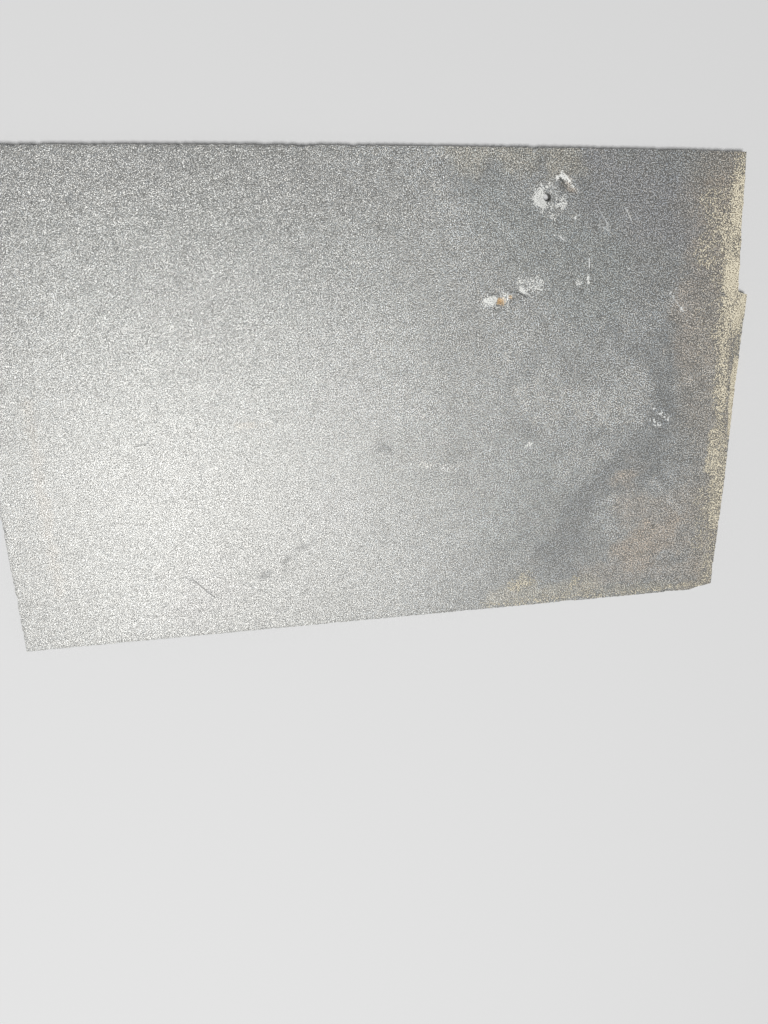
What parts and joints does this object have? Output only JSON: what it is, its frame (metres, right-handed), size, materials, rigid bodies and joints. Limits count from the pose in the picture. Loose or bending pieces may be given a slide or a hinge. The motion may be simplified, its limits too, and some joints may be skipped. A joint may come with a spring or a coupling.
{
  "type": "slate roof tile",
  "caption": "Rectangular natural slate roof tile with chipped dressed edges, a punched nail hole and a broken head edge.",
  "frame": {"origin": "on the floor, under the middle of the slate as it lies on its bed", "axes": "+X along the slate's length to the broken head, +Y across it to the side with the nail hole, +Z out of the weathered face"},
  "size_m": [0.406, 0.25, 0.006],
  "materials": {
    "slate": "riven natural slate, weathered, with ochre dust and rust stains"
  },
  "bodies": {
    "root": {"slate": "slate"}
  },
  "joints": []
}
